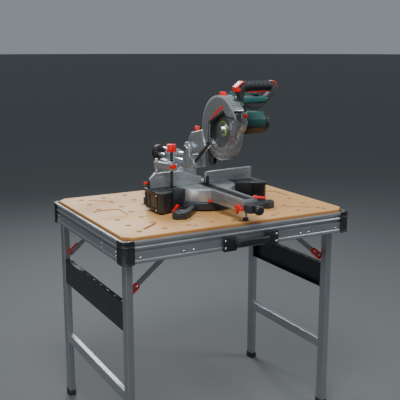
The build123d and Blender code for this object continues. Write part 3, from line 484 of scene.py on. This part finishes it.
dress(["leg_pivot_bolts", "fixings"], bright_steel)
for side in ("left", "right"):
    softened(side + "_feet", foot_rubber, 1.0, side + "_leg_frame")
    softened(side + "_latches", red_moulding, 0.7, side + "_latch_pair")
    latch_low, latch_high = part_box(side + "_latches")
    middle = (latch_low + latch_high) / 2
    rivet = lathe([(0, 0), (4.6 * mm, 0), (4.6 * mm, 0.8 * mm), (3.4 * mm, 1.8 * mm), (0, 2.2 * mm)],
                  20)
    lift, shift = 7.5 * mm, 9.0 * mm * (1 if side == "right" else -1)
    steps = ((shift, -lift), (-1.6 * shift, 1.6 * lift))
    places = [(middle.x + dx, y, middle.z + dz)
              for dx, dz in steps for y in (latch_low.y, latch_high.y)]
    turns = [(radians(90 if place[1] == latch_low.y else -90), 0, 0) for place in places]
    scatter(side + "_latch_rivets", rivet, places, bright_steel, side + "_latch_pair",
            turns)

# ---- Saw base ----
# One dark grey aluminium casting: the ring under the turntable, two wings with the
# side tables' slides, and four lugs bolted to the bench top.
grey_casting = finish("grey_casting", cast_skin, {
    "Base": (0.022, 0.026, 0.031, 1), "Shade": (0.05, 0.056, 0.062, 1),
    "Grain": 420.0, "Shine": 0.38},
    metallic=0.2, bump=0.3)
softened("saw_base", grey_casting, 1.4, "table")
for side in ("left", "right"):
    softened(side + "_extension", grey_casting, 1.0, side + "_side_table")
    softened(side + "_extension_lever", red_moulding, 0.8, side + "_side_lever")


def prism(points, axis, low, high):
    """A straight solid on the saw: an outline in two of its axes, swept along the third."""
    spots = {"x": lambda p, q, t: on_saw(t, p, q), "y": lambda p, q, t: on_saw(p, t, q),
             "z": lambda p, q, t: on_saw(p, q, t)}[axis]
    form = bmesh.new()
    ends = [[form.verts.new(spots(p, q, t)) for p, q in points] for t in (low, high)]
    count = len(points)
    for ring in ends:
        form.faces.new(ring)
    for i in range(count):
        j = (i + 1) % count
        form.faces.new((ends[0][i], ends[0][j], ends[1][j], ends[1][i]))
    bmesh.ops.recalc_face_normals(form, faces=form.faces)
    mesh = bpy.data.meshes.new("prism")
    form.to_mesh(mesh)
    form.free()
    return mesh


def loose_prism(points, axis, low, high):
    """The same kind of solid about the world's origin, ready to be copied to many places."""
    mesh = prism(points, axis, low, high)
    mesh.transform(Matrix.Translation(-on_saw(0, 0, 0)))
    return mesh


def arc(centre, radius, start, end, count=24):
    """Points along an arc, its angles in degrees from the outline's first axis."""
    turns = [radians(start + (end - start) * i / count) for i in range(count + 1)]
    return [(centre[0] + radius * cos(t), centre[1] + radius * sin(t)) for t in turns]


def together(meshes):
    """Several meshes as one."""
    form = bmesh.new()
    for mesh in meshes:
        form.from_mesh(mesh)
    whole = bpy.data.meshes.new("together")
    form.to_mesh(whole)
    form.free()
    return whole


for side, sign in (("left", -1), ("right", 1)):
    rib_ends = sorted((sign * 238.6, sign * 241.4))
    upright_ribs, level_ribs = ((-74, -66), (-8, 0), (26, 34)), ((12, 19), (69, 76))
    ribs = [prism([(a, 14), (b, 14), (b, 74), (a, 74)], "x", *rib_ends) for a, b in upright_ribs]
    ribs += [prism([(-74, a), (34, a), (34, b), (-74, b)], "x", *rib_ends) for a, b in level_ribs]
    place_piece(side + "_extension_ribs", together([eased(rib, 0.8) for rib in ribs]), grey_casting,
                side + "_side_table")
    bolt = lathe([(0, 0), (4.2 * mm, 0), (4.2 * mm, 1.6 * mm), (3.2 * mm, 2.4 * mm), (0, 2.4 * mm)], 18)
    heads = [on_saw(sign * 241.2, y, z) for y in (-70, 30) for z in (15.5, 72.5)]
    scatter(side + "_extension_bolts", bolt, heads, bright_steel, side + "_side_table",
            [(0, radians(90 * sign), 0)] * len(heads))

scale_angles = [radians(-90 + step) for step in range(-50, 51, 5)]
scale_radius = 127.2
tick = loose_prism([(-0.35, 0), (0.35, 0), (0.35, 4.2), (-0.35, 4.2)], "z", 0, 0.3)
scatter("mitre_scale", tick,
        [on_saw(scale_radius * cos(a), scale_radius * sin(a), 36.0) for a in scale_angles],
        bright_steel, "table", [(0, 0, a - pi / 2) for a in scale_angles], smooth=False)

# ---- Turntable, arm and kerf board ----
# A silver painted casting with a machined top, a black slotted insert along the arm,
# and a black clamp knob with red levers at its end.
silver_casting = finish("silver_casting", cast_skin, {
    "Base": (0.42, 0.45, 0.47, 1), "Shade": (0.28, 0.30, 0.32, 1),
    "Grain": 520.0, "Shine": 0.32},
    metallic=0.75, bump=0.15, depth=0.0002)
softened("turntable", silver_casting, 0.8, "mitre_table")
dress(["kerf_board"], black_moulding)
softened("mitre_handle", black_moulding, 1.5, "mitre_table", segments=3)
softened("mitre_knob", black_moulding, 1.0, "mitre_clamp_knob")
softened("detent_lever", red_moulding, 1.0, "detent_trigger")
softened("mitre_lock_lever", red_moulding, 1.0, "mitre_lock")
dress(["arm_foot"], bright_steel)
rib = loose_prism([(-1.1, -1.5), (1.1, -1.5), (0.9, 0.9), (-0.9, 0.9)], "z", 0, 44)
rib_angles = [radians(a) for a in (-206, -190, -174, -158, -142, -126, -54, -38, -22, -6, 10, 26)]
drum_radius = 124.9
scatter("drum_ribs", rib, [on_saw(drum_radius * cos(a), drum_radius * sin(a), 38) for a in rib_angles],
        silver_casting, "mitre_table", [(0, 0, a - pi / 2) for a in rib_angles])
pointer = prism([(-47, -122), (-38, -127), (-39, -134), (-46, -131)], "z", 37.4, 47)
place_piece("mitre_pointer", eased(pointer, 0.8), red_moulding, "mitre_table")
boot = lathe([(0, 0), (10.2 * mm, 0), (10.6 * mm, 1.4 * mm), (10.2 * mm, 11 * mm),
              (9.2 * mm, 12.4 * mm), (0, 12.4 * mm)], 28)
boot.transform(Matrix.Translation(on_saw(0, -314, 0.4)))
place_piece("arm_foot_boot", boot, foot_rubber, "mitre_table")
grip_rib = loose_prism(arc((0, 56), 17.6, 0, 360, 40)[:-1], "y", -0.9, 0.9)
scatter("mitre_knob_ribs", grip_rib, [on_saw(0, y, 0) for y in (-394, -400)], black_moulding,
        "mitre_clamp_knob")

# ---- Fences ----
# Milled aluminium faces that slide along a cast support, with rounded top edges. The
# right one has engraved lines, and each has a black plastic end with its lock.
fence_bodies = {"fence_support": "table", "left_fence": "left_fence_slide",
                "right_fence": "right_fence_slide"}
for name, body in fence_bodies.items():
    softened(name, silver_casting, 0.8, body)
mark = loose_prism([(-0.4, 0), (0.4, 0), (0.4, 6), (-0.4, 6)], "y", -0.25, 0.25)
marks = [on_saw(20 + 10 * i, -0.1, 120 + 0.23 * i) for i in range(20)]
scatter("right_fence_scale", mark, marks, black_enamel, "right_fence_slide",
        smooth=False)
stop_block = prism([(-3, 86), (16, 86), (16, 122), (5, 122), (-3, 112)], "x", 10.5, 25)
place_piece("right_fence_end", eased(stop_block, 1.2), black_moulding, "right_fence_slide")
end_block = prism([(-1, 87), (16, 87), (16, 118), (4, 122), (-1, 116)], "x", -241, -234.5)
place_piece("left_fence_end", eased(end_block, 1.0), black_moulding, "left_fence_slide")
knob = lathe([(0, 0), (3.4 * mm, 0), (3.4 * mm, 6 * mm), (6 * mm, 7 * mm), (6.6 * mm, 13 * mm),
              (5 * mm, 15 * mm), (0, 15 * mm)], 24)
scatter("left_fence_knob", knob, [on_saw(-240.5, 8, 108)], red_moulding, "left_fence_slide",
        [(0, radians(-90), 0)])

# ---- Bevel joint and slide ----
# The cast tilting housing with its clamp lever and stop pin, and the two hard-chromed
# tubes that slide in it between a black end cap and the silver head bracket.
chrome = finish("chrome", drawn_metal, {
    "Base": (0.68, 0.69, 0.71, 1), "Shade": (0.5, 0.51, 0.53, 1),
    "Along": (1.0, 0.02, 1.0), "Shine": 0.12},
    metallic=1.0, bump=0.04, depth=0.0001)
softened("bevel_arm", silver_casting, 1.2, "bevel_body")
dark_red_moulding = finish("dark_red_moulding", moulded_skin, {
    "Base": (0.22, 0.008, 0.008, 1), "Scuff": (0.30, 0.02, 0.02, 1),
    "Grain": 1300.0, "Shine": 0.3}, bump=0.08)
softened("bevel_lever", dark_red_moulding, 1.0, "bevel_clamp")
softened("bevel_stop_pin", red_moulding, 0.6, "bevel_stop")
dress(["slide_tubes"], chrome)
softened("slide_end_cap", black_moulding, 2.0, "carriage")
cap_rib = loose_prism(arc((0, 160), 33.9, 0, 360, 60)[:-1], "y", -1.2, 1.2)
scatter("end_cap_ribs", cap_rib, [on_saw(0, y, 0) for y in (391, 397, 403)], black_moulding, "carriage")
softened("head_bracket", silver_casting, 1.2, "carriage")
softened("head_pivot_pin", bright_steel, 1.0, "carriage")
softened("guard_link", black_enamel, 0.6, "link")

# ---- Saw head ----
# Cast gear case with its arm, and the cast upper guard: its rim and body a brighter silver than
# the gear case as painted highlight, a darker grey sheet on its flat left side as painted shade,
# a red stripe, a black lip round the mouth and a red clip on top.
softened("gear_case", silver_casting, 1.6, "head")
# A darker copy of the cast silver for the guard's flat left side: painted shade.
guard_side_painted_shade = finish("guard_side_painted_shade", cast_skin, {
    "Base": (0.24, 0.255, 0.27, 1), "Shade": (0.18, 0.19, 0.205, 1),
    "Grain": 900.0, "Shine": 0.3}, metallic=0.5,
    bump=0.08, depth=0.0002)
# A brighter copy of the cast silver for the whole upper guard, rim included: painted highlight.
guard_silver_painted_highlight = finish("guard_silver_painted_highlight", cast_skin, {
    "Base": (0.66, 0.68, 0.70, 1), "Shade": (0.52, 0.54, 0.56, 1),
    "Grain": 700.0, "Shine": 0.26}, metallic=0.8,
    bump=0.08, depth=0.0002)
softened("upper_guard", guard_silver_painted_highlight, 1.0, "head")
guard_centre = (-153, 320)
mouth = [(-84, 262), (-84, 337), (-186, 387), (-212, 366), (-262, 366)]
# A thin darker sheet over the guard's left face inside the rim: painted shade.
shade_sheet_arc = arc(guard_centre, 116, 138, -25, 40)
side_shade_sheet = prism(shade_sheet_arc + [(-80.5, 262), (-80.5, 340), (-186, 391.5), (-214, 370)],
                   "x", -22.7, -21.8)
place_piece("guard_side_panel", side_shade_sheet, guard_side_painted_shade, "head")
stripe = prism([(-94, 349), (-186, 400), (-192, 410), (-166, 401), (-93, 353.5)], "x", -23.1, -22.5)
place_piece("guard_stripe", stripe, red_moulding, "head")
lip_back = [(-262, 370), (-213, 370), (-186.5, 392), (-80, 340), (-80, 262)]
lip = prism(mouth + lip_back, "x", -23.6, -21.6)
place_piece("guard_mouth_lip", eased(lip, 0.5), black_moulding, "head")
clip = prism([(-162, 443), (-158, 452), (-152, 456), (-138, 456), (-132, 443)], "x", -9, 9)
place_piece("guard_clip", eased(clip, 2.0), red_moulding, "head")

# ---- Motor ----
# A green nylon housing with flats round it over the steel rotor, its lower half black,
# with a row of vents on top and a slotted black cap on the end.
green_moulding = finish("green_moulding", moulded_skin, {
    "Base": (0.016, 0.085, 0.080, 1), "Scuff": (0.04, 0.13, 0.125, 1),
    "Grain": 1200.0, "Shine": 0.36}, bump=0.12)
grip_rubber = finish("grip_rubber", moulded_skin, {
    "Base": (0.022, 0.024, 0.026, 1), "Scuff": (0.09, 0.095, 0.1, 1),
    "Grain": 520.0, "Shine": 0.62}, bump=0.5)
softened("motor_housing", green_moulding, 1.0, "head")
motor_centre = (-190, 341)
corners = arc(motor_centre, 44, 22.5, 382.5, 8)[:-1]
front_y, rear_y = corners[7][0], corners[4][0]
upper_shell = prism([(front_y, 326), *corners[:4], (rear_y, 336)], "x", 61.5, 139)
lower_shell = prism([(front_y, 325), *corners[:3:-1], (rear_y, 335)], "x", 60.8, 138.6)
place_piece("motor_upper_shell", eased(upper_shell, 3.0, segments=3), green_moulding, "head")
place_piece("motor_lower_shell", eased(lower_shell, 3.0, segments=3), black_moulding, "head")
vent = loose_prism([(-6, -1.2), (6, -1.2), (6, 1.2), (-6, 1.2)], "z", -0.6, 0.6)
vents = [on_saw(128, y, 381.6) for y in (-204, -197, -190, -183, -176)]
scatter("motor_vents", vent, vents, black_moulding, "head", smooth=False)
softened("motor_end_cap", black_moulding, 0.8, "head")
softened("handle_body", green_moulding, 2.0, "head")
softened("handle_grip", grip_rubber, 2.0, "head")
grip_axis = (-338, 489)
ridge_rim = arc(grip_axis, 15.2, -25, 205, 30) + arc(grip_axis, 13.4, 205, -25, 30)
ridge = loose_prism(ridge_rim, "x", -2.6, 2.6)
ridge = eased(ridge, 0.8)
scatter("grip_ridges", ridge, [on_saw(x, 0, 0) for x in (-20, -4, 12, 28, 44, 60)], grip_rubber, "head")
accent = prism([(82, 500.8), (84, 503.4), (91.5, 501.6), (98.8, 487), (97.6, 478), (95, 486),
                (89, 498.6)], "y", -352, -324)
place_piece("grip_end_accent", eased(accent, 0.6), red_moulding, "head")
trigger_line = prism([(-18, 465.2), (66, 465.2), (68, 468), (-20, 468)], "y", -343.3, -342.6)
place_piece("trigger_line", trigger_line, red_moulding, "switch")
softened("dust_chute", grip_rubber, 0.8, "head")
softened("trigger", black_moulding, 0.8, "switch")
softened("lock_off_paddle", red_moulding, 0.6, "lock_off")
softened("spindle_lock_button", red_moulding, 0.6, "spindle_lock")
softened("head_lock_pin", red_moulding, 0.6, "transport_pin")
dress(["motor_armature", "blade_spindle"], bright_steel)

# ---- Blade and lower guard ----
# Ground steel disc with tipped teeth and a printed lime ring round its flange, inside a
# clear polycarbonate guard that turns about the arbor.
turned_steel, start, end = effect("turned_steel", (
    ("Vector", "v", 0), ("Base", "c", (0.6, 0.6, 0.6, 1)), ("Shade", "c", (0.35, 0.35, 0.36, 1)),
    ("Centre", "v", 0), ("Shine", "f", 0.25)), outputs)
out_from = turned_steel.nodes.new("ShaderNodeVectorMath")
out_from.operation = "SUBTRACT"
turned_steel.links.new(start.outputs["Vector"], out_from.inputs[0])
turned_steel.links.new(start.outputs["Centre"], out_from.inputs[1])
reach = turned_steel.nodes.new("ShaderNodeVectorMath")
reach.operation = "LENGTH"
turned_steel.links.new(out_from.outputs["Vector"], reach.inputs[0])
wave = sums(turned_steel, "SINE", sums(turned_steel, "MULTIPLY", reach.outputs["Value"], 9000.0), 0.0)
smear = noise(turned_steel, start.outputs["Vector"], 22.0, 6.0)
turned_steel.links.new(blended(turned_steel, between(turned_steel, smear, 0.4, 0.75, 0.0, 0.8),
                               start.outputs["Base"], start.outputs["Shade"]), end.inputs["Colour"])
turned_steel.links.new(sums(turned_steel, "ADD", start.outputs["Shine"],
                            between(turned_steel, smear, 0.3, 0.7, -0.04, 0.15)), end.inputs["Roughness"])
turned_steel.links.new(wave, end.inputs["Height"])
blade_steel = finish("blade_steel", turned_steel, {
    "Base": (0.55, 0.56, 0.58, 1), "Shade": (0.28, 0.28, 0.30, 1),
    "Centre": tuple(arbor), "Shine": 0.26},
    metallic=1.0, bump=0.1, depth=0.0001)
dress(["saw_blade"], blade_steel)
clear_plastic = finish("clear_plastic", moulded_skin, {
    "Base": (0.95, 0.96, 0.97, 1), "Scuff": (0.86, 0.88, 0.89, 1),
    "Grain": 300.0, "Shine": 0.05},
    bump=0.02, Transmission_Weight=0.97, IOR=1.2)
softened("lower_guard", clear_plastic, 0.5, "guard")
lime_print = finish("lime_print", moulded_skin, {
    "Base": (0.22, 0.50, 0.05, 1), "Scuff": (0.05, 0.35, 0.12, 1),
    "Grain": 900.0, "Shine": 0.25}, bump=0.03)
ring_in, ring_out, ring_depth = 24 * mm, 28.5 * mm, 0.3 * mm
ring = lathe([(ring_in, 0), (ring_out, 0), (ring_out, ring_depth), (ring_in, ring_depth),
              (ring_in, 0)], 64)
ring.transform(Matrix.Translation(on_saw(-0.9, *guard_centre)) @ Matrix.Rotation(radians(-90), 4, "Y"))
place_piece("blade_ring", ring, lime_print, "blade")

# ---- Work clamp ----
# Column and silver arm with a black screw, a lobed red knob and a black pressure pad.
softened("clamp_frame", silver_casting, 1.2, "left_side_table")
knob_base = bench_top + 231 * mm
screw = place_piece("clamp_screw_form", eased(solid_of("clamp_spindle", below=knob_base), 0.4),
                    black_enamel, "clamp_screw")
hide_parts("clamp_spindle")
lobes = place_piece("clamp_knob_form", eased(solid_of("clamp_spindle", above=knob_base), 1.6),
                    red_moulding, "clamp_screw")
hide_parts("clamp_spindle")
release = prism([(-180, -60), (-158, -60), (-156, -70), (-182, -70)], "z", 168, 184)
place_piece("clamp_release", eased(release, 1.5), red_moulding, "left_side_table")
softened("clamp_pad", black_enamel, 0.8, "pad")
